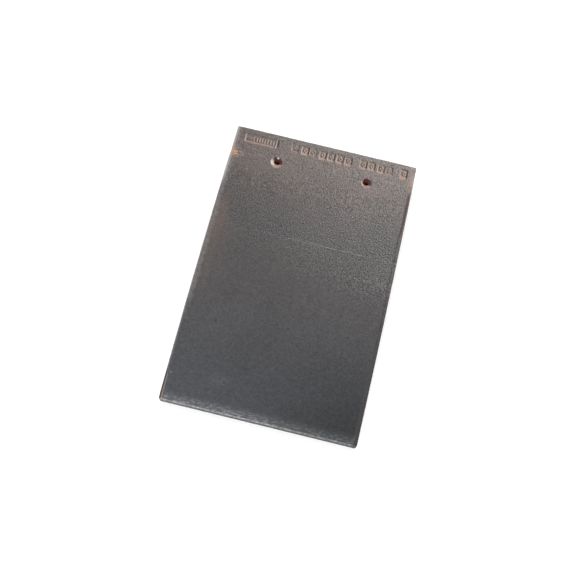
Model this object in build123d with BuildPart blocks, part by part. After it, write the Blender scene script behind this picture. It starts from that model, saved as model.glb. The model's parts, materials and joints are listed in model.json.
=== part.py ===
from build123d import *

import os
from math import asin, atan2, cos, degrees, hypot, pi, sin, tan

# Cambered clay plain roof tile with two nail holes, two hanging nibs and a stamped head. One fired piece.
# It lies face up on a level floor, on the tips of its nibs at the head and the lower edge of its tail.
# Millimetres. X runs across the tile, Y from tail to head, Z up, with the floor at Z = 0.

# Body
tile_length = 265.0  # chord of the face, tail to head
tile_width = 165.0
tile_thickness = 12.0
camber_rise = 8.0  # the middle of the face above its two ends
corner_radius = 1.2  # seen from above
face_arris_radius = 1.0
back_arris_radius = 1.0

# Nail holes, punched square to the face, with a flared mouth
nail_hole_diameter = 5.6
nail_hole_mouth_diameter = 9.6
nail_hole_mouth_angle = 90.0
nail_hole_spacing = 81.0
nail_hole_from_head = 28.4

# Hanging nibs on the back, with a square bearing side towards the tail
nib_spacing = 86.0
nib_from_head = 4.5  # clear of the head's lower arris
nib_length = 11.0  # along the tile, at the root
nib_root_width = 28.0
nib_tip_width = 22.0
nib_depth = 10.0
nib_back_slope = 2.5  # how far the head side leans in from root to tip
nib_tip_radius = 2.0
nib_root_radius = 1.5

# Stamped head: one long panel and a broken row of small square pads, all left bare
stamp_depth = 0.7
stamp_wall_slope = 20.0  # degrees from square
panel_length = 31.0
panel_height = 9.4
panel_from_left = 24.7  # to the panel's middle
panel_from_head = 10.5
pad_size = 7.0
pad_height = 8.9
pad_pitch = 7.95
pad_from_head = 10.3
pad_groups = [(7, 80.3), (4, 129.7), (1, 154.8)]  # how many, and how far the group's middle is from the left

# Camber: face and back are arcs about one axis that lies across the tile, deep below it
face_radius = (tile_length**2 / 4 + camber_rise**2) / (2 * camber_rise)
back_radius = face_radius - tile_thickness
half_angle = asin(tile_length / 2 / face_radius)


def arc_angle(from_head):
    """Angle from the tile's middle, in radians, of a place this far from the head along the face."""
    return half_angle - from_head / face_radius


def polar(radius, angle):
    """Y and Z from the camber axis, before the tile is laid down."""
    return radius * sin(angle), radius * cos(angle)


# How the tile lies: the tail's lower arris and the head side of the nib tips come down to the floor together
nib_angle = arc_angle(nib_from_head + nib_length / 2)
tail_arris_angle = half_angle - asin(back_arris_radius / (back_radius + back_arris_radius))
tail_y, tail_z = polar(back_radius + back_arris_radius, -tail_arris_angle)
tip_corner_angle = pi / 2 + atan2(nib_back_slope, nib_depth)  # between the nib's tip and its head side
tip_along = nib_length / 2 - nib_back_slope - nib_tip_radius / tan(tip_corner_angle / 2)
tip_middle_y, tip_middle_z = polar(back_radius - nib_depth + nib_tip_radius, nib_angle)
tip_y = tip_middle_y + tip_along * cos(nib_angle)
tip_z = tip_middle_z - tip_along * sin(nib_angle)
span, rise = tip_y - tail_y, tip_z - tail_z
lay_angle = asin((nib_tip_radius - back_arris_radius) / hypot(span, rise)) - atan2(rise, span)

# The camber axis in the laid tile: the face's end arrises set the middle in Y, the tail's lower arris sets the floor
end_arris_angle = half_angle - asin(face_arris_radius / (face_radius - face_arris_radius))
end_arris_height = (face_radius - face_arris_radius) * cos(end_arris_angle)
axis_y = end_arris_height * sin(lay_angle)
axis_z = back_arris_radius - (tail_y * sin(lay_angle) + tail_z * cos(lay_angle))
laid = Plane(origin=(0, axis_y, axis_z), x_dir=(1, 0, 0), z_dir=(0, -sin(lay_angle), cos(lay_angle)))
section = Plane(origin=laid.origin, x_dir=laid.y_dir, z_dir=laid.x_dir)


def tangent_plane(radius, angle):
    """Plane touching the arc of this radius at this angle, its Y along the tile and its Z out of the face."""
    y, z = polar(radius, angle)
    out = laid.y_dir * sin(angle) + laid.z_dir * cos(angle)
    return Plane(origin=laid.origin + laid.y_dir * y + laid.z_dir * z, x_dir=laid.x_dir, z_dir=out)


# Slab between the two arcs, with ends square to the face
with BuildPart() as slab:
    with BuildSketch(section):
        with BuildLine():
            start = 90 - degrees(half_angle)
            sweep_angle = 2 * degrees(half_angle)
            face_line = CenterArc((0, 0), face_radius, start, sweep_angle)
            back_line = CenterArc((0, 0), back_radius, start, sweep_angle)
            Line(face_line @ 0, back_line @ 0)
            Line(face_line @ 1, back_line @ 1)
        make_face()
    extrude(amount=tile_width / 2, both=True)
    fillet(slab.edges().filter_by(GeomType.LINE).filter_by(Axis.X, reverse=True), corner_radius)
    fillet(slab.faces().filter_by(GeomType.CYLINDER).sort_by(SortBy.RADIUS)[-1].edges(), face_arris_radius)
    fillet(slab.faces().filter_by(GeomType.CYLINDER).sort_by(SortBy.RADIUS)[-2].edges(), back_arris_radius)

# One nib at the middle of the tile: its side outline, trimmed to taper from root to tip
nib_root_plane = tangent_plane(back_radius, nib_angle)
nib_side = Plane(origin=nib_root_plane.origin, x_dir=nib_root_plane.y_dir, z_dir=nib_root_plane.x_dir)
nib_front = Plane(origin=nib_root_plane.origin, x_dir=nib_root_plane.x_dir, z_dir=-nib_root_plane.y_dir)
nib_inset = tile_thickness / 3  # how far the nib's block runs up into the body
with BuildPart() as nib:
    with BuildSketch(nib_side):
        with BuildLine():
            Polyline(
                (-nib_length / 2, nib_inset),
                (-nib_length / 2, -nib_depth),
                (nib_length / 2 - nib_back_slope, -nib_depth),
                (nib_length / 2, 0),
                (nib_length / 2, nib_inset),
                close=True,
            )
        make_face()
    extrude(amount=nib_root_width / 2, both=True)
    with BuildSketch(nib_front):
        with BuildLine():
            Polyline(
                (-nib_root_width / 2, nib_inset),
                (-nib_root_width / 2, 0),
                (-nib_tip_width / 2, -nib_depth),
                (nib_tip_width / 2, -nib_depth),
                (nib_root_width / 2, 0),
                (nib_root_width / 2, nib_inset),
                close=True,
            )
        make_face()
    extrude(amount=nib_length, both=True, mode=Mode.INTERSECT)
    fillet(nib.faces().sort_by(Axis(nib_root_plane.origin, nib_root_plane.z_dir))[0].edges(), nib_tip_radius)

hole_plane = tangent_plane(face_radius, arc_angle(nail_hole_from_head))
panel_plane = tangent_plane(face_radius, arc_angle(panel_from_head))
pad_plane = tangent_plane(face_radius, arc_angle(pad_from_head))

with BuildPart() as tile:
    add(slab.part)
    with Locations((-nib_spacing / 2, 0, 0), (nib_spacing / 2, 0, 0)):
        add(nib.part)
    nib_roots = tile.edges(Select.NEW)
    fillet(nib_roots, nib_root_radius)

    with Locations(hole_plane):
        with GridLocations(nail_hole_spacing, 0, 2, 1):
            CounterSinkHole(
                nail_hole_diameter / 2,
                nail_hole_mouth_diameter / 2,
                depth=2 * tile_thickness,
                counter_sink_angle=nail_hole_mouth_angle,
            )

    with BuildSketch(panel_plane):
        with Locations((panel_from_left - tile_width / 2, 0)):
            Rectangle(panel_length, panel_height)
    extrude(amount=-stamp_depth, taper=stamp_wall_slope, mode=Mode.SUBTRACT)
    with BuildSketch(pad_plane):
        for count, from_left in pad_groups:
            with Locations((from_left - tile_width / 2, 0)):
                with GridLocations(pad_pitch, 0, count, 1):
                    Rectangle(pad_size, pad_height)
    extrude(amount=-stamp_depth, taper=stamp_wall_slope, mode=Mode.SUBTRACT)

tile.part.label = "roof_tile"
os.makedirs("parts", exist_ok=True)
export_step(tile.part, "parts/roof_tile.step")
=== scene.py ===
import json
import math

import bmesh
import bpy
import numpy as np
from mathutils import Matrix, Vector


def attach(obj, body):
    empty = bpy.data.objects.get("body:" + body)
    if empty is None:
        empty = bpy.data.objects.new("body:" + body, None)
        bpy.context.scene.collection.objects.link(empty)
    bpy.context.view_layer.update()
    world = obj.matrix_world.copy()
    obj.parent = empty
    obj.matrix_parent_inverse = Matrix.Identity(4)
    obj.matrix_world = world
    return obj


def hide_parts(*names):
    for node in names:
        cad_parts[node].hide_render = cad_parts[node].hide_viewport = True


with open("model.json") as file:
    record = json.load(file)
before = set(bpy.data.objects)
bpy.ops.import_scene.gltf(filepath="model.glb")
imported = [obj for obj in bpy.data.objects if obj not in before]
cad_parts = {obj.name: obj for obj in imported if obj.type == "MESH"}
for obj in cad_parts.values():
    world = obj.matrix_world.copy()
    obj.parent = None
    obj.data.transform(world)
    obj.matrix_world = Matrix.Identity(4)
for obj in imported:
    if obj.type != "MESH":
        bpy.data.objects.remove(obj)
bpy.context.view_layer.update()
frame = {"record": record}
mounts = {mount["name"]: mount for mount in frame["record"]["mounts"]}
mm = 0.001

# The fired body, as the solid has it
body = dict(
    length=265 * mm,
    width=165 * mm,
    thick=12 * mm,
    camber=8 * mm,
    corner=1.2 * mm,  # seen from above
    faceArris=1 * mm,
    backArris=1 * mm,
    cornerSteps=6,
    arrisSteps=5,
    backArrisSteps=3,
    wallSteps=3,
    columnStep=0.37 * mm,
    # fine at the stamps, coarse down the face
    rowSteps=[(17.5 * mm, 0.37 * mm), (40 * mm, 0.8 * mm), (252 * mm, 3.2 * mm), (None, 1.3 * mm)],
    backColumnStep=2.5 * mm,
    backRowStep=3 * mm,
    edgeWave=0.12 * mm,  # how far the cut edges wander in from straight
    waveCells=(14 * mm, 4 * mm),
    sag=0.10 * mm,  # slow hollows in the face
    sagCells=(38 * mm, 17 * mm),
    tailRoll=9 * mm,
    tailDrop=0.5 * mm,
)
nail = dict(
    fromHead=28.4 * mm,
    boreShift=[(0.8 * mm, -0.2 * mm), (0.8 * mm, -0.7 * mm)],  # across and down from its true place
    mouthShift=[(0.2 * mm, 1.3 * mm), (1.0 * mm, 0.9 * mm)],
    block=7.8 * mm,  # half of the square of face that is laid out round the hole
    backBlock=6 * mm,
    lip=5.6 * mm,
    lipRings=[0.75, 0.5, 0.25, 0.0],  # where each ring lies, from the lip out to the square
    mouthSize=[1.0, 0.85],  # how far each mouth is opened out
    bore=2.8 * mm,
    flare=4.6 * mm,  # wider than this, the wall belongs to the mouth
    wander=0.035,  # how far from round
    reliefDepth=2 * mm,  # the face's own hollows carry on down the wall this far
    # radius and depth of the punched wall, from the mouth down
    wall=[(5.2, 0.04), (4.95, 0.14), (4.7, 0.34), (4.3, 0.72), (3.85, 1.14), (3.4, 1.55), (3.0, 1.92),
          (2.82, 2.3), (2.8, 3.6), (2.8, 5.4), (2.8, 7.4), (2.8, 9.4), (2.8, 11.0), (2.9, 11.6),
          (3.2, 12.0)],
)
nib = dict(
    fromHead=4.5 * mm,
    run=11 * mm,
    rootHalf=14 * mm,
    tipHalf=11 * mm,
    depth=9.97 * mm,
    backSlope=2.5 * mm,
    tipRound=2 * mm,
    rootRound=1.5 * mm,
    edgeRound=0.8 * mm,
    roundSteps=4,
    sideSteps=4,
    runSteps=7,
    block=17 * mm,  # half of the piece of back that is left out round it
    tailGap=2.5 * mm,
    laceShift=0.004,  # keeps the root's points from lying level with the block's
)
stamp = dict(
    depth=0.8 * mm,
    headFloor=0.4,  # share of the depth at the head end of the floor
    wall=0.6 * mm,
    rightWall=1.1 * mm,
    tailWall=1.5 * mm,  # the side towards the tail slopes most
    floorWear=0.28,
    # at the tail end of each stamp: a painted highlight, pink like thin glaze
    tailWear=0.54,
    panel=(-57.8 * mm, 10.5 * mm, 15.5 * mm, 4.7 * mm),  # middle across, middle down, half sizes
    panelDepth=0.85,  # beside a pad's
    panelEnds=4 * mm,
    panelRibs=9,
    panelRise=0.45 * mm,
    # the panel's wear with its painted highlight and shade
    panelWear=0.75,
    panelGather=2.0 * mm,  # how far in from the right wall shade is painted
    ribHalf=(0.8 * mm, 2.6 * mm),
    ribWander=0.2,
    ribFaint=(-11 * mm, -6 * mm),  # the ribs come up between these
    endBar=(2.8 * mm, 0.6 * mm, 1.1),  # in from the right wall, half width, height beside a rib's
    padHalf=(3.5 * mm, 4.5 * mm),
    padDown=10.3 * mm,
    padAcross=[-27.2, -18.1, -10.5, -1.8, 5.9, 13.9, 21.7, 35.3, 42.9, 51.7, 58.9, 72.3],
    padFirm=[0.5, 1.0, 0.45, 1.0, 1.0, 1.0, 0.9, 1.0, 0.9, 1.0, 0.55, 1.25],  # how hard each was pressed
    padTilt=0.06,
    padTurn=0.03,
    padSlip=0.3 * mm,
    # a pad's wear with its painted highlight and shade, and how far in from its right wall shade is painted
    padWear=1.1,
    padGather=1.4 * mm,
    pipHalf=(2.3 * mm, 3.1 * mm),
    pipRise=0.6 * mm,
    seed=11,
)
chips = [  # middle across, down, out; reach across, down, out; depth; how bare; how dark the clay
    dict(at=(-82.5, 29.4, 0.0), reach=(12.5, 4.8, 4.0), depth=0.5, bare=0.8, dark=0.06),
    dict(at=(-82.5, 25.0, -1.0), reach=(3.0, 4.0, 4.0), depth=0.35, bare=0.6, dark=0.1),
    dict(at=(82.5, 25.0, -0.5), reach=(4.2, 3.6, 4.0), depth=0.5, bare=0.62, dark=0.06),
    dict(at=(71.2, 14.4, -0.4), reach=(3.0, 2.5, 3.0), depth=0.08, bare=0.7, dark=0.06),
]

# The camber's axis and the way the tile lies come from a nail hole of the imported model
radius = (body["length"] ** 2 / 4 + body["camber"] ** 2) / (2 * body["camber"])
halfTurn = math.asin(body["length"] / 2 / radius)
faceRun = 2 * halfTurn * radius
nailMount = mounts["nail_hole_right"]
nailOut = np.array(nailMount["axis"])
nailAcross = [mounts["nail_hole_left"]["pos_m"][0], nailMount["pos_m"][0]]
nibAcross = [mounts["nib_bearing_left"]["pos_m"][0], mounts["nib_bearing_right"]["pos_m"][0]]
wallMiddle = radius - body["thick"] + nailMount["dims"]["length_mm"] * mm / 2
camberAxis = np.array(nailMount["pos_m"]) - nailOut * wallMiddle
layTurn = halfTurn - nail["fromHead"] / radius - math.atan2(nailOut[1], nailOut[2])


def lay(place):
    # a place is (across, down from the head, out of the face), carried round the camber's axis
    across, down, out = place.T
    turn = halfTurn - down / radius - layTurn
    reach = radius + out
    return np.stack([across, camberAxis[1] + reach * np.sin(turn), camberAxis[2] + reach * np.cos(turn)], 1)


def ease(value, low, high):
    # 0 below low, 1 above high, and an S between
    part = np.clip((value - low) / (high - low), 0, 1)
    return part * part * (3 - 2 * part)


def within(value, low, high):
    # 1 below low, 0 above high, and an S between
    return 1 - ease(value, low, high)


def softNoise(across, down, cell, seed):
    # seeded heights from -1 to 1 on a square lattice that repeats, joined by S curves
    cells, start = 64, 200
    lattice = np.random.default_rng(seed).uniform(-1, 1, (cells, cells))
    col, row = across / cell + start, down / cell + start
    colFloor, rowFloor = np.floor(col).astype(int), np.floor(row).astype(int)
    colPart, rowPart = ease(col - colFloor, 0, 1), ease(row - rowFloor, 0, 1)
    left, right = colFloor % cells, (colFloor + 1) % cells
    top, bottom = rowFloor % cells, (rowFloor + 1) % cells
    near = lattice[top, left] * (1 - colPart) + lattice[top, right] * colPart
    far = lattice[bottom, left] * (1 - colPart) + lattice[bottom, right] * colPart
    return near * (1 - rowPart) + far * rowPart


class Clay:
    # points and faces of one closed mesh, gathered block by block
    def __init__(self):
        self.blocks, self.faces, self.count = [], [], 0

    def add(self, places):
        # keeps a block of points, and gives back their numbers in the block's own shape
        index = np.arange(self.count, self.count + places[..., 0].size).reshape(places.shape[:-1])
        self.blocks.append(places.reshape(-1, 3))
        self.count += index.size
        return index

    def sheet(self, index, keep):
        # quads between neighbours of a grid of points, where they are kept
        quads = np.stack([index[:-1, :-1], index[1:, :-1], index[1:, 1:], index[:-1, 1:]], -1)
        self.faces.append(quads[keep])

    def tube(self, loops):
        # quads between closed loops of equal count, or triangles where a corner point repeats
        loops = np.concatenate([loops, loops[:, :1]], 1)
        quads = np.stack([loops[:-1, :-1], loops[1:, :-1], loops[1:, 1:], loops[:-1, 1:]], -1).reshape(-1, 4)
        shut = quads[:, 0] == quads[:, 3]
        self.faces += [quads[~shut], quads[shut][:, :3]]

    def lace(self, one, oneAt, two, twoAt):
        # joins closed loops of unlike counts: each edge takes the point beside its middle on the other loop
        oneMiddle = (oneAt + np.append(oneAt[1:], oneAt[0] + 1)) / 2
        twoMiddle = (twoAt + np.append(twoAt[1:], twoAt[0] + 1)) / 2
        onto = np.searchsorted(twoMiddle, oneMiddle) % len(two)
        back = np.searchsorted(oneMiddle, twoMiddle, side="right") % len(one)
        self.faces.append(np.stack([one, np.roll(one, -1), two[onto]], 1))
        self.faces.append(np.stack([np.roll(two, -1), two, one[back]], 1))

    def cap(self, loop):
        # triangles from a closed loop to its middle
        middle = self.add(self.places()[loop].mean(0)[None])
        self.faces.append(np.stack([loop, np.roll(loop, -1), np.repeat(middle, len(loop))], 1))

    def places(self):
        return np.concatenate(self.blocks)


def gridLines(low, high, step):
    # even lines from low to high, as near to the step as fits
    return np.linspace(low, high, int(round((high - low) / step)) + 1)


def cutOut(index, keep, columns, rows, middle, half, top, bottom):
    # leaves a block of a grid's quads out, and gives back the block's points
    left, right = np.searchsorted(columns, [middle - half, middle + half])
    top, bottom = np.searchsorted(rows, [top, bottom])
    keep[top:bottom, left:right] = False
    return index[top:bottom + 1, left:right + 1]


def around(index):
    # a grid's outline once round from its first corner, and how far round each point is
    sides = [index[0], index[:, -1], index[-1, ::-1], index[::-1, 0]]
    at = [(side + np.arange(len(line) - 1) / (len(line) - 1)) / 4 for side, line in enumerate(sides)]
    return np.concatenate([line[:-1] for line in sides]), np.concatenate(at)


def cornered(index, steps):
    # as around, with each corner point repeated for a quarter turn, and the way out of the tile at each
    sides = [index[0], index[:, -1], index[-1, ::-1], index[::-1, 0]]
    ways = np.array([(0, -1), (1, 0), (0, 1), (-1, 0)], float)
    swing = np.linspace(0, math.pi / 2, steps + 1)[:, None]
    cornerPart = np.linspace(0, 1e-3, steps + 1)  # a corner takes next to none of its side
    loop, out, at = [], [], []
    for side, line in enumerate(sides):
        loop += [np.repeat(line[0], steps + 1), line[1:-1]]
        out.append(np.cos(swing) * ways[side - 1] + np.sin(swing) * ways[side])
        out.append(np.tile(ways[side], (len(line) - 2, 1)))
        part = np.arange(len(line) - 1) / (len(line) - 1)
        at += [(side + cornerPart) / 4, (side + part[1:]) / 4]
    return np.concatenate(loop), np.concatenate(out), np.concatenate(at)


def pressed(across, down, halfAcross, halfDown):
    # 1 inside a rectangle and 0 outside, with sloping walls and a floor that deepens to the tail
    floor = stamp["headFloor"] + (1 - stamp["headFloor"]) * ease(down, -halfDown, 0.5 * halfDown)
    sides = ease(halfAcross + across, 0, stamp["wall"]) * ease(halfAcross - across, 0, stamp["rightWall"])
    ends = ease(halfDown + down, 0, stamp["wall"]) * ease(halfDown - down, 0, stamp["tailWall"])
    return floor * sides * ends


def stampWearAndPaintedLight(across, down, halfAcross, halfDown, shadeWidth):
    # how a stamp is worn and painted: some wear on its floor, a painted highlight, pink like thin glaze,
    # at its tail end and a little past it, and less than nothing on its right wall, where shade is painted
    rows = ease(halfDown + down, 0, mm) * ease(halfDown - down, 0, mm)
    inside = ease(halfAcross - 0.8 * mm - across, 0, 0.6 * mm) * ease(halfAcross + across, 0, 0.6 * mm)
    low = ease(down, 0.1 * halfDown, 0.9 * halfDown) * ease(1.55 * halfDown - down, 0, 0.5 * halfDown)
    # its right wall's band, where shade is painted
    wall = ease(halfAcross + 0.2 * mm - across, 0, 0.5 * mm)
    wall = wall * ease(across - halfAcross + shadeWidth, 0, 0.4 * mm)
    wearAndPaintedLight = np.maximum(stamp["floorWear"] * rows, stamp["tailWear"] * low)
    return inside * wearAndPaintedLight - wall * rows * (1 - 0.5 * low)


def panelRelief(across, down):
    # the long panel: a dent with a row of upright ribs and a bar at its right end; gives height, and wear
    # with its painted highlight and shade
    middle, mid, halfAcross, halfDown = stamp["panel"]
    across, down = across - middle, down - mid
    pitch = 2 * (halfAcross - stamp["panelEnds"]) / stamp["panelRibs"]
    ribPlace = across / pitch + stamp["ribWander"] * softNoise(across, 0 * down, 5 * mm, 31)
    fromRib = np.abs(ribPlace - np.round(ribPlace)) * pitch
    ribAcross, ribDown = stamp["ribHalf"]
    rib = ease(ribAcross - fromRib, 0, 0.6 * mm) * ease(ribDown - np.abs(down), 0, 0.8 * mm)
    rib = rib * (0.8 + 0.4 * softNoise(across, down, 3 * mm, 32))
    rib = rib * (0.4 + 0.6 * ease(across, *stamp["ribFaint"]))
    rib = rib * ease(halfAcross - 3.6 * mm - np.abs(across), 0, 0.8 * mm)
    barIn, barHalf, barRise = stamp["endBar"]
    bar = ease(barHalf - np.abs(across - halfAcross + barIn), 0, 0.4 * mm)
    rib = np.maximum(rib, barRise * bar)
    figure = rib * stamp["panelRise"] - stamp["depth"] * stamp["panelDepth"]
    wearAndPaintedLight = stamp["panelWear"] * stampWearAndPaintedLight(across, down, halfAcross, halfDown, stamp["panelGather"])
    return pressed(across, down, halfAcross, halfDown) * figure, wearAndPaintedLight


def stampRelief(across, down):
    # the panel, and pads that are each a dent with a slightly tilted floor and a raised, hollow lozenge;
    # gives height, and wear with painted highlights and shade
    random = np.random.default_rng(stamp["seed"])
    relief, wearAndPaintedLight = panelRelief(across, down)
    halfAcross, halfDown = stamp["padHalf"]
    for middle, firm in zip(stamp["padAcross"], stamp["padFirm"]):
        turn, leanAcross, leanDown, slip = random.uniform(-1, 1, 4)
        a, d = across - middle * mm, down - stamp["padDown"] - stamp["padSlip"] * slip
        a, d = a + stamp["padTurn"] * turn * d, d - stamp["padTurn"] * turn * a
        lozenge = np.abs(a) / stamp["pipHalf"][0] + np.abs(d) / stamp["pipHalf"][1]
        pip = ease(1.05 - lozenge, 0, 0.28) * (1 - 0.8 * ease(0.55 - lozenge, 0, 0.25))
        floor = stamp["depth"] * firm + stamp["padTilt"] * (leanAcross * a + leanDown * d)
        relief = relief - pressed(a, d, halfAcross, halfDown) * (floor - pip * stamp["pipRise"] * firm)
        wearAndPaintedLight = wearAndPaintedLight + stamp["padWear"] * stampWearAndPaintedLight(a, d, halfAcross, halfDown, stamp["padGather"]) * firm
    return relief, wearAndPaintedLight


def faceRelief(across, down):
    # the stamps, slow hollows from long and short waves, and a face that rolls off towards the tail
    longCell, shortCell = body["sagCells"]
    slow = (softNoise(across, down, longCell, 3) + 0.6 * softNoise(across, down, shortCell, 4)) / 1.6
    roll = np.clip((down - faceRun) / body["tailRoll"] + 1, 0, 1) ** 2
    return stampRelief(across, down)[0] + body["sag"] * (slow - 1) / 2 - body["tailDrop"] * roll


def layFace(clay):
    # a grid of columns and rows raised by the face's relief, with a square left out round each nail hole
    innerHalf = body["width"] / 2 - body["corner"]
    columns = gridLines(-innerHalf, innerHalf, body["columnStep"])
    rows, low = [], body["corner"]
    for high, step in body["rowSteps"]:
        high = high or faceRun - body["corner"]
        rows.append(gridLines(low, high, step)[1:])
        low = high
    rows = np.concatenate([[body["corner"]], *rows])
    across, down = np.meshgrid(columns, rows)
    face = clay.add(np.stack([across, down, faceRelief(across, down)], -1))
    keep = np.ones((len(rows) - 1, len(columns) - 1), bool)
    half = nail["block"]
    top, bottom = nail["fromHead"] - half, nail["fromHead"] + half
    nailBlocks = [cutOut(face, keep, columns, rows, middle, half, top, bottom) for middle in nailAcross]
    clay.sheet(face, keep)
    return face, nailBlocks


def layBack(clay):
    # a coarser level grid, with blocks left out for the nail holes and the nibs
    innerHalf = body["width"] / 2 - body["corner"]
    columns = gridLines(-innerHalf, innerHalf, body["backColumnStep"])
    rows = gridLines(body["corner"], faceRun - body["corner"], body["backRowStep"])
    across, down = np.meshgrid(columns, rows)
    back = clay.add(np.stack([across, down, np.full_like(across, -body["thick"])], -1))
    keep = np.ones((len(rows) - 1, len(columns) - 1), bool)
    half = nail["backBlock"]
    top, bottom = nail["fromHead"] - half, nail["fromHead"] + half
    nailBlocks = [cutOut(back, keep, columns, rows, middle, half, top, bottom) for middle in nailAcross]
    bottom = nib["fromHead"] + nib["run"] + nib["tailGap"]
    nibBlocks = [cutOut(back, keep, columns, rows, middle, nib["block"], 0, bottom) for middle in nibAcross]
    clay.sheet(back, keep)
    return back, nailBlocks, nibBlocks


def wrapEdges(clay, face, back):
    # the face's outline carried out over the arris, down the wall and in under the back arris
    start, out, at = cornered(face, body["cornerSteps"])
    turn = np.linspace(0, math.pi / 2, body["arrisSteps"] + 1)
    backTurn = np.linspace(0, math.pi / 2, body["backArrisSteps"] + 1)
    wall = np.linspace(body["faceArris"], body["thick"] - body["backArris"], body["wallSteps"] + 1)[1:-1]
    inset = [body["faceArris"] * (1 - np.sin(turn)), 0 * wall, body["backArris"] * (1 - np.cos(backTurn))]
    depth = [body["faceArris"] * (1 - np.cos(turn)), wall]
    depth.append(body["thick"] - body["backArris"] * (1 - np.sin(backTurn)))
    inset, depth = np.concatenate(inset), np.concatenate(depth)
    core = clay.places()[start]
    longCell, shortCell = body["waveCells"]
    waveAcross, waveDown = core[:, 0] * 1.3, core[:, 1]  # no two sides of the tile wander alike
    wave = softNoise(waveAcross, waveDown, longCell, 7) + 0.5 * softNoise(waveAcross, waveDown, shortCell, 8)
    wave = body["edgeWave"] * (1 + wave / 1.5) / 2
    overArris = ease(depth, 0, body["faceArris"])[:, None]
    spread = body["corner"] - inset[:, None] - wave * overArris
    flat = core[:, :2] + out * spread[..., None]
    level = core[:, 2] * (1 - overArris) - depth[:, None]
    edge = clay.add(np.concatenate([flat, level[..., None]], -1))
    clay.tube(np.concatenate([start[None], edge]))
    clay.lace(edge[-1], at, *around(back))


def punchHole(clay, number, block, backBlock):
    # rings from the square in to the lip, then down the punched wall to the back, each a little out of round
    hole = nailAcross[number], nail["fromHead"]
    rim = around(block)[0]
    offset = clay.places()[rim][:, :2] - hole
    angle = np.arctan2(offset[:, 1], offset[:, 0])
    uneven = np.sin(2 * angle + 1.1 + 2 * number) + 0.6 * np.sin(3 * angle - number)
    uneven = uneven + 0.4 * np.sin(5 * angle + 2)
    lipRings = np.array(nail["lipRings"])[:, None]
    ringOut = nail["lip"] + (np.hypot(*offset.T) - nail["lip"]) * lipRings
    wallOut, wallDown = np.array(nail["wall"]).T * mm
    flare = ease(wallOut, nail["bore"], nail["flare"])[:, None]
    wallOut = nail["bore"] + (wallOut - nail["bore"]) * nail["mouthSize"][number]
    wallOut = wallOut[:, None] * (1 + nail["wander"] * uneven * (0.4 + 0.6 * flare))
    rings = np.concatenate([ringOut, wallOut])
    toMouth = np.concatenate([1 - lipRings, flare])
    toBore = np.concatenate([0 * lipRings, 1 - flare])
    shift = toMouth[..., None] * nail["mouthShift"][number] + toBore[..., None] * nail["boreShift"][number]
    across = hole[0] + rings * np.cos(angle) + shift[..., 0]
    down = hole[1] + rings * np.sin(angle) + shift[..., 1]
    level = faceRelief(across, down)
    level[len(ringOut):] *= within(wallDown, 0, nail["reliefDepth"])[:, None]
    level[len(ringOut):] -= wallDown[:, None]
    loops = clay.add(np.stack([across, down, level], -1))
    clay.tube(np.concatenate([rim[None], loops]))
    backRim = around(backBlock)[0]
    offset = clay.places()[backRim][:, :2] - hole
    full = 2 * math.pi
    backAt = ((np.arctan2(offset[:, 1], offset[:, 0]) - angle[0]) % full) / full
    order = np.argsort(backAt)
    clay.lace(loops[-1], ((angle - angle[0]) % full) / full, backRim[order], backAt[order])


def nibLoop(middle, grow, depth):
    # a nib's outline at a depth below the back, grown outwards, once round from its head-left corner
    taper = depth / nib["depth"]
    half = nib["rootHalf"] + (nib["tipHalf"] - nib["rootHalf"]) * taper + grow
    head = nib["fromHead"] + nib["backSlope"] * taper - grow
    tail = nib["fromHead"] + nib["run"] + grow
    bend = nib["edgeRound"] + max(grow, 0)
    left, right = middle - half, middle + half
    corners = np.array([(left, head), (right, head), (right, tail), (left, tail)])
    inward = np.array([(1, 1), (-1, 1), (-1, -1), (1, -1)])
    start = np.array([math.pi, 1.5 * math.pi, 0, 0.5 * math.pi])
    angle = start[:, None] + np.linspace(0, math.pi / 2, nib["roundSteps"] + 1)
    arcs = (corners + inward * bend)[:, None] + bend * np.stack([np.cos(angle), np.sin(angle)], -1)
    part = np.linspace(0, 1, nib["runSteps"] + 1)[1:-1, None]
    runs = arcs[:, None, -1] * (1 - part) + np.roll(arcs, -1, 0)[:, None, 0] * part
    loop = np.concatenate([arcs, runs], 1).reshape(-1, 2)
    return np.concatenate([loop, np.full((len(loop), 1), -body["thick"] - depth)], 1)


def addNib(clay, middle, block):
    # the nib's outline from its root fillet down the tapered sides to the rounded tip
    turn = np.linspace(0, math.pi / 2, nib["roundSteps"] + 1)
    sides = np.linspace(nib["rootRound"], nib["depth"] - nib["tipRound"], nib["sideSteps"] + 1)[1:-1]
    grow = [nib["rootRound"] * (1 - np.sin(turn)), 0 * sides, nib["tipRound"] * (np.cos(turn) - 1)]
    depth = [nib["rootRound"] * (1 - np.cos(turn)), sides]
    depth.append(nib["depth"] - nib["tipRound"] * (1 - np.sin(turn)))
    steps = zip(np.concatenate(grow), np.concatenate(depth))
    loops = clay.add(np.stack([nibLoop(middle, *step) for step in steps]))
    clay.tube(loops)
    clay.cap(loops[-1])
    count = loops.shape[1]
    fromCorner = np.arange(count) - nib["roundSteps"] // 2
    clay.lace(loops[0], fromCorner / count + nib["laceShift"], *around(block))


def buildTile():
    # face, back, edges, nail holes and nibs, laid out flat before the camber
    clay = Clay()
    face, faceBlocks = layFace(clay)
    back, backBlocks, nibBlocks = layBack(clay)
    wrapEdges(clay, face, back)
    for number, (block, backBlock) in enumerate(zip(faceBlocks, backBlocks)):
        punchHole(clay, number, block, backBlock)
    for middle, block in zip(nibAcross, nibBlocks):
        addNib(clay, middle, block)
    return clay


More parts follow.
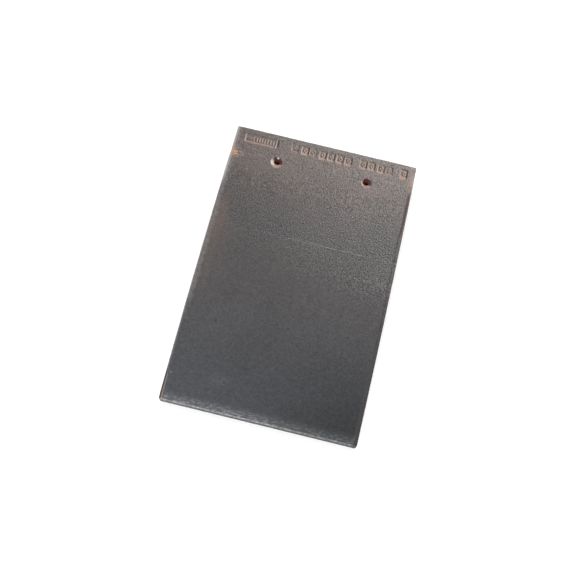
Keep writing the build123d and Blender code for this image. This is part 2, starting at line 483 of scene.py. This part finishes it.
def chipAway(places):
    # near each chip the clay is pushed in from the arris, most at the middle; gives back how bare and how
    # dark each place is
    bare, dark = np.zeros((2, len(places)))
    for number, chip in enumerate(chips):
        gap = (places - np.array(chip["at"]) * mm) / (np.array(chip["reach"]) * mm)
        ragged = softNoise(places[:, 0], places[:, 1], 2.2 * mm, 20 + number)
        away = np.linalg.norm(gap, axis=1) + 0.25 * ragged
        pit = ease(1 - away, 0, 0.8)
        inward = np.array([-np.sign(chip["at"][0]) * 0.5, 0, -0.85])
        places += pit[:, None] * inward * chip["depth"] * mm
        bare = np.maximum(bare, chip["bare"] * ease(1.35 - away, 0, 1))
        dark = np.maximum(dark, chip["dark"] * ease(1.6 - away, 0, 0.4))
    return bare, dark


# Where the glaze is missing or thin, and where highlights and shade are painted into its colour. Pairs are
# spans in mm, down from the head unless a note says otherwise, and mid is the middle part of the right edge
paintedLightAndWear = dict(
    upper=(-2.6, -0.6),  # out of the face: the top of the walls
    holeBare=(1.75, 2.2),  # below the face
    wallGlazed=7.5,  # the glaze runs down to here
    tailGlazed=11.0,
    leftFoot=(236, 248),
    leftFootLine=(2.0, 0.5),  # in from the edge, and how much
    rightFoot=(246, 256),
    rightFootLine=(3.2, 0.25),
    # painted shade at the feet of the sides near the tail corners
    footPool=1.3,
    slopeStep=0.3,
    # painted highlights on the lit sides of the nail mouths' lips: pale, and pink where thin glaze shows
    paleLip=1.65,
    pinkLip=0.9,
    drip=(0.6, -4.3, 1.7),  # a painted glint: across and down from the left mouth, and how much
    # painted highlights along the left arris and in a band beside it
    leftArris=(0.9, 0.3),  # near the head, and lower down
    leftFade=(45, 75),
    leftBand=(0.36, 0.14),  # likewise
    bandFade=(165, 205),
    # a painted highlight along the tail arris, broken into dashes with painted dark gaps
    tailArris=0.62,
    tailFade=0.35,
    tailBroken=0.6,
    tailGaps=0.4,
    cornerRub=0.33,
    cornerArris=0.3,
    cornerFade=(21, 28),
    # a painted highlight along the right arris
    rightRub=0.3,
    rightFade=(120, 135),
    # painted shade along the right arris, and over the face near the right tail corner
    midFrom=(60, 85),
    midTo=(129, 140),
    rightLine=(0.3, 1.3),  # how far in, and how much farther at mid
    rightPool=(23, 38),
    rightDark=0.75,
    rightShade=0.5,
    shadeFrom=(135, 165),
    # painted shade on the tail's end face
    tailFace=0.55,
)


def glazeAndLightMasks(places, chipped, dark):
    # how bare and how deep a red each place is, how much wear and painted highlight it takes, and how much
    # painted
    # shade: the greatest of several soft bands along edges, round the nail mouths and in the stamps; lengths
    # are in mm
    across, down, out = places.T / mm
    halfWidth = body["width"] / 2 / mm
    fromLeft, fromRight, fromTail = halfWidth + across, halfWidth - across, faceRun / mm - down
    upper = ease(out, *paintedLightAndWear["upper"])

    # the nearest nail mouth, both counted as one size, and the way from its middle
    mouths = (np.array([(middle, nail["fromHead"]) for middle in nailAcross]) + nail["mouthShift"]) / mm
    gap = np.stack([across, down], 1) - mouths[:, None]
    fromMouth = np.linalg.norm(gap, axis=-1) / np.array(nail["mouthSize"])[:, None] ** 0.7
    fromHole = fromMouth.min(0)
    wayAcross, wayDown = (gap[fromMouth.argmin(0), np.arange(len(places))] / fromHole[:, None]).T
    lip = within(fromHole, 5.0, 5.5) * ease(out, -2.1, -1.7)
    # a painted glint at the top of the left mouth
    mouthGlintAcross, mouthGlintDown, mouthGlintStrength = paintedLightAndWear["drip"]
    drip = np.hypot(gap[0, :, 0] - mouthGlintAcross, gap[0, :, 1] - mouthGlintDown)
    drip = mouthGlintStrength * within(drip, 0.7, 1.3) * upper

    # bare: on the back, low on the walls, down the holes and in the chips
    inHole = within(fromHole, 6.0, 6.5) * ease(-out, *paintedLightAndWear["holeBare"])
    glazedTo = paintedLightAndWear["wallGlazed"] + (paintedLightAndWear["tailGlazed"] - paintedLightAndWear["wallGlazed"]) * within(fromTail, 1, 2)
    lowWall = ease(-out, glazedTo, body["thick"] / mm + 1)
    bare = np.maximum.reduce([chipped, inHole, lowWall])
    deep = np.maximum.reduce([dark, inHole, 0.5 * lowWall])

    # wear and painted highlights: painted highlights on the left, right and tail arrises, on the stamps'
    # walls that face right or to the head and on the holes' lips on the same sides, with a glint by the left
    # mouth; wear on the stamps' floors and at the head's right corner, and pink lines near the tail corners
    step = paintedLightAndWear["slopeStep"] * mm
    wide, long = places[:, 0], places[:, 1]
    slopeAcross = (stampRelief(wide + step, long)[0] - stampRelief(wide - step, long)[0]) / (2 * step)
    slopeDown = (stampRelief(wide, long + step)[0] - stampRelief(wide, long - step)[0]) / (2 * step)
    wearAndPaintedLight = stampRelief(wide, long)[1]
    # painted highlights on the stamps' walls that face right or to the head, with the stamps' wear
    litAndWorn = np.clip(0.5 * slopeDown - 1.4 * slopeAcross, 0, 1.25) + np.clip(wearAndPaintedLight, 0, 1)
    # painted highlights on the lips' lit sides: pale on the left, pink with thin glaze on the tail side
    paleLip = paintedLightAndWear["paleLip"] * lip * np.clip(0.26 * wayDown - 0.966 * wayAcross, 0, 1)
    pinkLip = paintedLightAndWear["pinkLip"] * within(fromHole, 4.5, 7.5) * ease(out, -2.3, -1.9)
    pinkLip = pinkLip * ease(0.9 * wayDown + 0.35 * wayAcross, 0.45, 0.85)
    # painted highlights along the left arris and in a band beside it
    high, low = paintedLightAndWear["leftArris"]
    leftArris = (high + (low - high) * ease(down, *paintedLightAndWear["leftFade"])) * within(fromLeft, 1.0, 3.6)
    high, low = paintedLightAndWear["leftBand"]
    leftBand = (high + (low - high) * ease(down, *paintedLightAndWear["bandFade"])) * within(fromLeft, 3, 7.5)
    leftArris = np.maximum(leftArris, leftBand) * upper
    # a painted highlight along the tail arris, broken into dashes
    tailLine = within(fromTail, 0.5, 1.0) * ease(out, -1.3, -0.7)
    broken = softNoise(across, 0 * down, 1.2, 42)
    tailArris = paintedLightAndWear["tailArris"] - paintedLightAndWear["tailFade"] * ease(across, 0, 60) + paintedLightAndWear["tailBroken"] * broken
    cornerRub = paintedLightAndWear["cornerArris"] * within(fromRight, 1.0, 2.5) * ease(down, 10, 16)
    cornerRub = cornerRub + paintedLightAndWear["cornerRub"] * within(fromRight, 4, 11)
    cornerRub = cornerRub * within(down, *paintedLightAndWear["cornerFade"]) * upper
    # a painted highlight along the right arris
    rightRub = paintedLightAndWear["rightRub"] * within(fromRight, 0.4, 0.9) * upper * within(down, *paintedLightAndWear["rightFade"])
    leftFoot, rightFoot = ease(down, *paintedLightAndWear["leftFoot"]) * upper, ease(down, *paintedLightAndWear["rightFoot"]) * upper
    lineIn, much = paintedLightAndWear["leftFootLine"]
    footLine = much * leftFoot * within(np.abs(fromLeft - lineIn), 0.2, 0.8)
    lineIn, much = paintedLightAndWear["rightFootLine"]
    footLine = footLine + much * rightFoot * within(np.abs(fromRight - lineIn), 0.3, 1.0)
    edgeWearAndHighlight = [leftArris, tailLine * tailArris, cornerRub, rightRub, footLine]
    rub = edgeWearAndHighlight + [litAndWorn * upper, paleLip, pinkLip, drip]

    # painted shade: on the right arris and the face beside it near the tail, at the feet of the sides, on the
    # tail face, in gaps of the tail arris's painted highlight, and opposite the painted highlights in stamps
    # and holes
    # painted shade along the right arris, uneven at mid
    mid = ease(down, *paintedLightAndWear["midFrom"]) - 0.6 * ease(down, *paintedLightAndWear["midTo"])
    lineIn, farther = paintedLightAndWear["rightLine"]
    fromLine = fromRight - lineIn - farther * mid
    rightArris = within(fromLine, 1.8, 4) * (1 - 0.75 * within(fromLine, 0.4, 1.0))
    uneven = softNoise(across, down, 2.6, 51)
    rightArris = rightArris * (paintedLightAndWear["rightDark"] - 0.2 * mid + 0.4 * mid * uneven)
    rightArris = rightArris * ease(down, *paintedLightAndWear["rightPool"])
    rightShade = paintedLightAndWear["rightShade"] * within(fromRight, 2.5, 6.5) * ease(down, *paintedLightAndWear["shadeFrom"])
    # painted shade at the feet of the sides near the tail corners
    foot = leftFoot * within(fromLeft, 1.1, 1.7) + rightFoot * within(fromRight, 1.6, 2.4)
    foot = paintedLightAndWear["footPool"] * foot
    # painted shade on the tail's end face
    tailFace = paintedLightAndWear["tailFace"] * within(fromTail, 0.3, 0.9) * ease(-out, 1.0, 1.8)
    # painted dark gaps that break the tail arris's painted highlight
    tailGaps = paintedLightAndWear["tailGaps"] * tailLine * ease(-broken, 0.2, 0.7)
    # painted shade on the stamps' right walls
    shade = np.clip(np.maximum(1.5 * slopeAcross, -wearAndPaintedLight), 0, 1)
    # painted shade on the lips' far sides
    darkLip = lip * np.clip(0.25 + 0.5 * wayAcross - 0.9 * wayDown, 0, 1) - drip
    pool = [rightArris, rightShade, foot, tailFace, tailGaps, shade, darkLip]
    return dict(bare=bare, deep=deep, rub=np.maximum.reduce(rub), pool=np.maximum.reduce(pool))


def makeTile():
    # the chipped clay laid on the camber as one closed mesh, which carries the glaze's masks and those of its
    # painted highlights and shade
    clay = buildTile()
    places = clay.places()
    chipped, dark = chipAway(places)
    masks = glazeAndLightMasks(places, chipped, dark)

    mesh = bpy.data.meshes.new("roofTile")
    used = np.zeros(len(places), bool)
    for faces in clay.faces:
        used[faces] = True
    number = np.cumsum(used) - 1
    polygons = [face for faces in clay.faces for face in number[faces].tolist()]
    mesh.from_pydata(lay(places[used]), [], polygons)
    for name, values in masks.items():
        layer = mesh.attributes.new(name, "FLOAT", "POINT")
        layer.data.foreach_set("value", values[used].astype(np.float32))
    shape = bmesh.new()
    shape.from_mesh(mesh)
    bmesh.ops.recalc_face_normals(shape, faces=shape.faces)
    openEdges = sum(not edge.is_manifold for edge in shape.edges)
    shape.to_mesh(mesh)
    shape.free()
    mesh.shade_smooth()
    tile = bpy.data.objects.new("roofTile", mesh)
    bpy.context.scene.collection.objects.link(tile)
    triangles = sum(len(polygon.vertices) - 2 for polygon in mesh.polygons)
    print("tile made,", len(mesh.vertices), "points,", triangles, "triangles,", openEdges, "open edges")
    return tile


class Wire:
    # a socket in a material's nodes, so that shader maths reads as sums
    def __init__(self, tree, socket=None):
        self.tree, self.socket = tree, socket

    def node(self, kind, settings=(), sockets=(), out=0):
        # a node of any type: its settings first, then values or links for its sockets
        made = self.tree.nodes.new(kind)
        for name, value in dict(settings).items():
            setattr(made, name, value)
        for key, value in dict(sockets).items():
            if isinstance(value, Wire):
                self.tree.links.new(value.socket, made.inputs[key])
            else:
                made.inputs[key].default_value = value
        return Wire(self.tree, made.outputs[out] if len(made.outputs) else None)

    def math(self, operation, one, two):
        return self.node("ShaderNodeMath", {"operation": operation}, {0: one, 1: two})

    def __add__(self, other):
        return self.math("ADD", self, other)

    def __radd__(self, other):
        return self.math("ADD", other, self)

    def __sub__(self, other):
        return self.math("SUBTRACT", self, other)

    def __rsub__(self, other):
        return self.math("SUBTRACT", other, self)

    def __mul__(self, other):
        return self.math("MULTIPLY", self, other)

    def __rmul__(self, other):
        return self.math("MULTIPLY", other, self)

    def root(self):
        return self.node("ShaderNodeMath", {"operation": "SQRT"}, {0: self})

    def size(self):
        return self.node("ShaderNodeMath", {"operation": "ABSOLUTE"}, {0: self})

    def times(self, amount):
        # a colour made lighter or darker
        return self.node("ShaderNodeVectorMath", {"operation": "SCALE"}, {0: self, "Scale": amount})

    def step(self, low, high):
        # 0 below low, 1 above high
        sockets = {0: self, 1: low, 2: high}
        return self.node("ShaderNodeMapRange", {"interpolation_type": "SMOOTHSTEP"}, sockets)

    def between(self, one, two):
        # one colour where this is 0, the other where it is 1
        return self.node("ShaderNodeMix", {"data_type": "RGBA"}, {0: self, 6: one, 7: two}, 2)

    def noise(self, place, scale, detail, rough):
        # soft noise round 0
        sockets = {"Vector": place, "Scale": scale, "Detail": detail, "Roughness": rough}
        return self.node("ShaderNodeTexNoise", {}, sockets) - 0.5

    def stretched(self, place, scale):
        return self.node("ShaderNodeMapping", {}, {"Vector": place, "Scale": scale})


# Colours are linear, as the shader takes them
glaze = dict(
    # from head to tail, the glaze's own tones with painted sheen that fades towards the tail
    headColour=(0.060, 0.044, 0.037, 1),
    headEdgeColour=(0.056, 0.047, 0.041, 1),
    tailColour=(0.0305, 0.0315, 0.0355, 1),
    middleColour=(0.0362, 0.0324, 0.0326, 1),
    # darkest at the tail's right corner: painted shade where less sheen falls
    tailRightColour=(0.010, 0.011, 0.012, 1),
    brownColour=(0.060, 0.0455, 0.038, 1),
    # pink of thin glaze, also used for painted highlights in the stamps and on the lips
    thinColour=(0.29, 0.195, 0.155, 1),
    scuffColour=(0.20, 0.158, 0.138, 1),
    smearColour=(0.083, 0.056, 0.0435, 1),
    # grey of the painted highlights on the arrises
    greyThinColour=(0.20, 0.195, 0.192, 1),
    # pale blue-grey of the painted glints along the tail, also used for a scuff and pale spots
    frostColour=(0.20, 0.208, 0.225, 1),
    # pale of the strongest painted highlights
    paleColour=(0.45, 0.41, 0.385, 1),
    # the dark of the painted shade, also drawn for a pit
    thickColour=(0.013, 0.010, 0.009, 1),
    edgeBrownColour=(0.034, 0.019, 0.013, 1),
    rustColour=(0.062, 0.020, 0.016, 1),
    lineColour=(0.20, 0.19, 0.175, 1),
    chipColour=(0.26, 0.148, 0.098, 1),
    clayColour=(0.15, 0.047, 0.030, 1),
    deepClayColour=(0.105, 0.013, 0.011, 1),
    refraction=1.5,
    rough=0.40,
    fleckRough=0.2,
    nakedRough=0.4,
    # rougher where shade is painted
    thickRough=0.35,
    grainScale=760,
    grainHeight=0.26 * mm,
    grainTone=5.0,
    fleckTone=0.4,
    cloudTone=0.5,
    clayTone=3.2,
    # a painted sheen on the right side
    rightTone=0.26,
    beltTone=0.11,
    headEdge=0.7,  # from here on, how much of a colour shows
    brown=0.5,
    # how much the painted glints along the tail show
    frost=0.5,
    line=0.42,
    faint=0.25,
    # how much the thin glaze and painted highlights show
    thin=0.8,
    # how much the painted shade shows
    thick=0.9,
    lineAlong=30.4 * mm,
    faintAlong=8 * mm,
)
spans = dict(  # where a tone comes up: along the tile, + to the head, or across it, + to the right
    cold=(-110 * mm, 20 * mm),
    warm=(36 * mm, 132 * mm),
    headEdge=(123.5 * mm, 127.5 * mm),
    # where the painted shade at the tail's right corner lies
    cornerAcross=(-60 * mm, 85 * mm),
    cornerAlong=(-140 * mm, -30 * mm),
    brownLeft=(58 * mm, 82 * mm),  # to the left
    brownFrom=(-60 * mm, 0),
    brownTo=(45 * mm, 90 * mm),
    coarseAlong=(-10 * mm, 30 * mm),
    coarseAcross=(-50 * mm, 70 * mm),
    tailBand=(-132 * mm, -122.5 * mm),
    # where the painted sheen on the right lies
    rightAcross=(-60 * mm, 50 * mm),
    rightAlong=(-40 * mm, 20 * mm),
    beltFrom=(25 * mm, 45 * mm),
    beltTo=(70 * mm, 95 * mm),
    beltAcross=(0, 60 * mm),
    frostAcross=(-20 * mm, 60 * mm),
    lineAcross=(-55 * mm, 20 * mm),
    lineHalf=(0.1 * mm, 0.5 * mm),
    faintAcross=(20 * mm, 45 * mm),
    faintHalf=(0.2 * mm, 0.6 * mm),
    rim=(80 * mm, 81.5 * mm),  # to either side
    leftRim=(-81 * mm, -76 * mm),
    pinkHeadAlong=(85 * mm, 105 * mm),
    pinkHeadAcross=(-79.5 * mm, -76 * mm),
    pinkFootSides=(76.5 * mm, 78.5 * mm),  # to either side
    pinkFootAlong=(-115 * mm, -102 * mm),
    edgeBrownAcross=(76 * mm, 80 * mm),
    edgeBrownAlong=(30 * mm, 70 * mm),
)
marks = [  # small marks on the face, in mm: across and along; reach; how much slimmer across than along
    dict(at=(-55.3, 74.8), reach=2.4, slim=1.5, ragged=2.0, streaky=0.0, cover=0.7, colour="scuffColour"),
    dict(at=(-10.2, 93.5), reach=2.4, slim=1.5, ragged=2.0, streaky=0.0, cover=0.55, colour="scuffColour"),
    dict(at=(-74.6, 36.0), reach=27.0, slim=4.0, ragged=7.0, streaky=0.6, cover=0.75, colour="smearColour"),
    dict(at=(-78.0, 95.0), reach=7.0, slim=1.6, ragged=7.0, streaky=0.6, cover=0.4, colour="smearColour"),
    dict(at=(-74.4, 16.0), reach=9.0, slim=2.2, ragged=14.0, streaky=1.0, cover=0.35, colour="brownColour"),
    dict(at=(79.7, 3.4), reach=3.0, slim=1.1, ragged=2.5, streaky=0.0, cover=0.8, colour="rustColour"),
    # a dark pit, in the painted shade's colour
    dict(at=(-54.1, -58.1), reach=1.8, slim=1.0, ragged=1.0, streaky=0.0, cover=1.6, colour="thickColour"),
    # a scuff and two pale spots, in the tail glints' colour
    dict(at=(-37.0, -106.5), reach=7.0, slim=0.6, ragged=20.0, streaky=2.4, cover=0.09, colour="frostColour"),
    dict(at=(-62.6, -105.2), reach=1.4, slim=1.0, ragged=1.0, streaky=0.0, cover=0.2, colour="frostColour"),
    dict(at=(-78.5, -109.2), reach=1.3, slim=1.0, ragged=1.0, streaky=0.0, cover=0.5, colour="frostColour"),
]


def glazeMaterial():
    # layers of colour, each mixed over the last by its own mask
    material = bpy.data.materials.new("satinGlaze")
    material.use_nodes = True
    tree = material.node_tree
    shader = tree.nodes["Principled BSDF"]
    wire = Wire(tree)
    place = wire.node("ShaderNodeTexCoord", out="Object")
    across = wire.node("ShaderNodeSeparateXYZ", {}, {0: place})
    along = Wire(tree, across.socket.node.outputs[1])
    masks = [{"attribute_name": name} for name in ("bare", "deep", "rub", "pool")]
    bare, deep, rub, pool = [wire.node("ShaderNodeAttribute", mask, out="Fac") for mask in masks]

    grain = wire.noise(wire.stretched(place, (1.25, 0.9, 1)), glaze["grainScale"], 1.5, 0.55)
    fleck = wire.noise(place, 330, 3.0, 0.6)
    cloud = wire.noise(place, 26, 3.0, 0.55)
    streak = wire.noise(wire.stretched(place, (1, 0.16, 1)), 150, 3.0, 0.6)
    scratch = wire.noise(wire.stretched(place, (0.3, 1, 1)), 640, 3.0, 0.6)
    dash = wire.noise(wire.stretched(place, (0.42, 1.4, 1)), 800, 0.5, 0.5)

    # warm and pale at the head, cold and dark at the tail, partly the glaze's own tone and partly painted
    # sheen that fades towards the tail; darkest at its right corner, where shade is painted; brown at the
    # left
    colour = along.step(*spans["cold"]).between(glaze["tailColour"], glaze["middleColour"])
    colour = (along + cloud * 0.05).step(*spans["warm"]).between(colour, glaze["headColour"])
    headEdge = along.step(*spans["headEdge"])
    colour = (headEdge * glaze["headEdge"]).between(colour, glaze["headEdgeColour"])
    # painted shade towards the tail's right corner
    corner = across.step(*spans["cornerAcross"]) * (1 - along.step(*spans["cornerAlong"]))
    colour = corner.between(colour, glaze["tailRightColour"])
    brown = (streak * 0.05 - across).step(*spans["brownLeft"])
    brown = brown * along.step(*spans["brownFrom"]) * (1 - along.step(*spans["brownTo"]))
    colour = (brown * glaze["brown"]).between(colour, glaze["brownColour"])

    # grain, coarser to the head and to the right, slow changes of tone, and a painted sheen on the right side
    coarse = 0.28 + 0.72 * (along + across * 0.25).step(*spans["coarseAlong"])
    coarse = coarse * (0.80 + 0.42 * across.step(*spans["coarseAcross"]))
    # a painted sheen on the right side, lightening the colour
    rightSide = across.step(*spans["rightAcross"]) * along.step(*spans["rightAlong"])
    belt = along.step(*spans["beltFrom"]) * (1 - along.step(*spans["beltTo"]))
    belt = belt * (1 - 0.65 * across.step(*spans["beltAcross"]))
    tone = 1 + rightSide * glaze["rightTone"] - belt * glaze["beltTone"]
    tone = tone + grain * coarse * glaze["grainTone"]
    tone = tone + fleck * glaze["fleckTone"] + cloud * glaze["cloudTone"]
    colour = colour.times(tone)

    # painted glints as pale dashes along the tail, and the small marks
    tailBand = 1 - along.step(*spans["tailBand"])
    frost = tailBand * (0.25 + 0.75 * (streak * 0.3 + dash).step(-0.02, 0.15))
    frost = frost * (1 - 0.45 * across.step(*spans["frostAcross"]))
    colour = (frost * glaze["frost"]).between(colour, glaze["frostColour"])
    for mark in marks:
        gapAcross, gapAlong = (across - mark["at"][0] * mm) * mark["slim"], along - mark["at"][1] * mm
        gap = (gapAcross * gapAcross + gapAlong * gapAlong).root() + fleck * (mark["ragged"] * mm)
        spot = 1 - gap.step(0.3 * mark["reach"] * mm, mark["reach"] * mm)
        spot = spot * (scratch * mark["streaky"] + 0.5).step(0.3, 0.7)
        colour = (spot * mark["cover"]).between(colour, glaze[mark["colour"]])

    # a scored line across the face, broken into dashes, and a short faint one below it
    away = (along + streak * 0.0006 - glaze["lineAlong"]).size()
    line = (1 - away.step(*spans["lineHalf"])) * across.step(*spans["lineAcross"])
    line = line * scratch.step(-0.10, 0.03)
    away = (along + streak * 0.0015 - glaze["faintAlong"]).size()
    faint = (1 - away.step(*spans["faintHalf"])) * across.step(*spans["faintAcross"])
    faint = faint * grain.step(-0.08, 0.1)
    onFace = 1 - across.size().step(*spans["rim"])
    scored = (line * glaze["line"] + faint * glaze["faint"]) * onFace
    colour = scored.between(colour, glaze["lineColour"])

    # thin glaze and painted highlights, pink at the head and the feet and grey elsewhere, and pale where the
    # painted highlights are strongest
    ragged = fleck * (0.25 + 0.3 * across.step(*spans["leftRim"]))
    thin = (rub + ragged).step(0.12, 0.85)
    pinkHead = along.step(*spans["pinkHeadAlong"]) * across.step(*spans["pinkHeadAcross"])
    pinkFoot = across.size().step(*spans["pinkFootSides"]) * (1 - along.step(*spans["pinkFootAlong"]))
    thinColour = (pinkHead + pinkFoot).between(glaze["greyThinColour"], glaze["thinColour"])
    colour = (thin * glaze["thin"]).between(colour, thinColour)
    colour = rub.step(1.0, 1.5).between(colour, glaze["paleColour"])

    # painted shade, brown at the right edge near the head, and bare clay
    # how much painted shade shows
    thick = (pool + fleck * 0.7).step(0.2, 0.8)
    edgeBrown = across.step(*spans["edgeBrownAcross"]) * along.step(*spans["edgeBrownAlong"])
    thickColour = edgeBrown.between(glaze["thickColour"], glaze["edgeBrownColour"])
    colour = (thick * glaze["thick"]).between(colour, thickColour)
    naked = (bare + fleck * 0.8 + scratch * 2.0).step(0.25, 0.95) * bare.step(0.02, 0.12)
    clay = deep.step(0.0, 0.5).between(glaze["chipColour"], glaze["clayColour"])
    clay = deep.step(0.6, 1.0).between(clay, glaze["deepClayColour"])
    colour = naked.between(colour, clay.times(1 + scratch * glaze["clayTone"]))

    height = grain * coarse + dash * (tailBand * 0.6) + cloud * 0.8
    relief = {"Height": height, "Strength": 1.0, "Distance": glaze["grainHeight"]}
    bump = wire.node("ShaderNodeBump", {}, relief)
    rough = glaze["rough"] + fleck * glaze["fleckRough"]
    rough = rough + naked * glaze["nakedRough"] + thick * glaze["thickRough"]
    for name, value in (("Base Color", colour), ("Roughness", rough), ("Normal", bump)):
        tree.links.new(value.socket, shader.inputs[name])
    shader.inputs["IOR"].default_value = glaze["refraction"]
    return material


tile = makeTile()
tile.data.materials.append(glazeMaterial())
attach(tile, "root")
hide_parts("roof_tile")
print("glaze laid on")


# Plain pale floor and soft studio light
studio = dict(
    floorHalf=4.0,
    floorColour=(0.92, 0.92, 0.92, 1),
    floorRough=0.9,
    floorShine=0.1,
    worldColour=(1, 1, 1, 1),
    worldStrength=0.33,
)
lamps = [
    dict(name="keySoftbox", at=(0.40, 1.20, 1.10), size=(1.0, 0.5), power=17.5),
    dict(name="leftFill", at=(-1.1, 0.35, 1.05), size=(0.8, 0.8), power=18.0),
    dict(name="frontFill", at=(0.1, -1.2, 1.2), size=(1.4, 0.8), power=32.0),
]


def makeFloor():
    # one level square
    half = studio["floorHalf"]
    corners = [(-half, -half, 0), (half, -half, 0), (half, half, 0), (-half, half, 0)]
    mesh = bpy.data.meshes.new("paleFloor")
    mesh.from_pydata(corners, [], [(0, 1, 2, 3)])
    floor = bpy.data.objects.new("paleFloor", mesh)
    bpy.context.scene.collection.objects.link(floor)
    material = bpy.data.materials.new("palePaper")
    material.use_nodes = True
    shader = material.node_tree.nodes["Principled BSDF"]
    shader.inputs["Base Color"].default_value = studio["floorColour"]
    shader.inputs["Roughness"].default_value = studio["floorRough"]
    shader.inputs["Specular IOR Level"].default_value = studio["floorShine"]
    mesh.materials.append(material)


def makeLamps():
    # rectangles of light turned to the tile, and an even white sky
    for lamp in lamps:
        light = bpy.data.lights.new(lamp["name"], "AREA")
        light.shape = "RECTANGLE"
        light.size, light.size_y = lamp["size"]
        light.energy = lamp["power"]
        holder = bpy.data.objects.new(lamp["name"], light)
        holder.location = lamp["at"]
        holder.rotation_euler = (-Vector(lamp["at"])).to_track_quat("-Z", "Y").to_euler()
        bpy.context.scene.collection.objects.link(holder)
    world = bpy.data.worlds.new("studioAir")
    world.use_nodes = True
    air = world.node_tree.nodes["Background"]
    air.inputs["Color"].default_value = studio["worldColour"]
    air.inputs["Strength"].default_value = studio["worldStrength"]
    bpy.context.scene.world = world


makeFloor()
makeLamps()
bpy.context.scene.view_settings.view_transform = "Standard"
print("studio lit")

# The photograph's view: a short telephoto from above the tail
view = dict(at=(0.025727, -0.425834, 0.887488), turn=(25.1488, -4.2984, 13.0160), lens=71.094, sensor=36)
camera = bpy.data.objects.new("camera", bpy.data.cameras.new("camera"))
camera.data.sensor_width = view["sensor"]
camera.data.lens = view["lens"]
camera.location = view["at"]
camera.rotation_euler = [math.radians(angle) for angle in view["turn"]]
bpy.context.scene.collection.objects.link(camera)
bpy.context.scene.camera = camera
